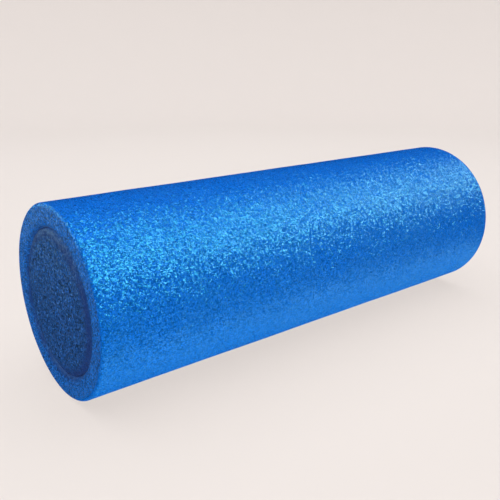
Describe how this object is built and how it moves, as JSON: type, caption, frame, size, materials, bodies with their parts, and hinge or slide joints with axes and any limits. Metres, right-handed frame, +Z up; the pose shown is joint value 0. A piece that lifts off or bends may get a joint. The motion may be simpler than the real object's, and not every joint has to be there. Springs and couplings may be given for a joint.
{
  "type": "foam roller",
  "caption": "Full-round solid foam roller with a thick soft sleeve bonded around a firm foam core, for massage, stretching and balance exercise.",
  "frame": {"origin": "on the floor under the middle of the roller, which lies on its side", "axes": "+X along the roller's axis, +Z up"},
  "size_m": [0.45, 0.15, 0.15],
  "materials": {
    "sleeve_foam": "closed-cell polyethylene foam with a fine, slightly shiny cell grain, bright blue",
    "core_foam": "denser closed-cell polyethylene foam, cut face, deep dull blue",
    "bond_layer": "thin fused layer, dark blue, smooth"
  },
  "bodies": {
    "root": {"outer_sleeve": "sleeve_foam", "inner_core": "core_foam", "bond_film": "bond_layer"}
  },
  "joints": []
}
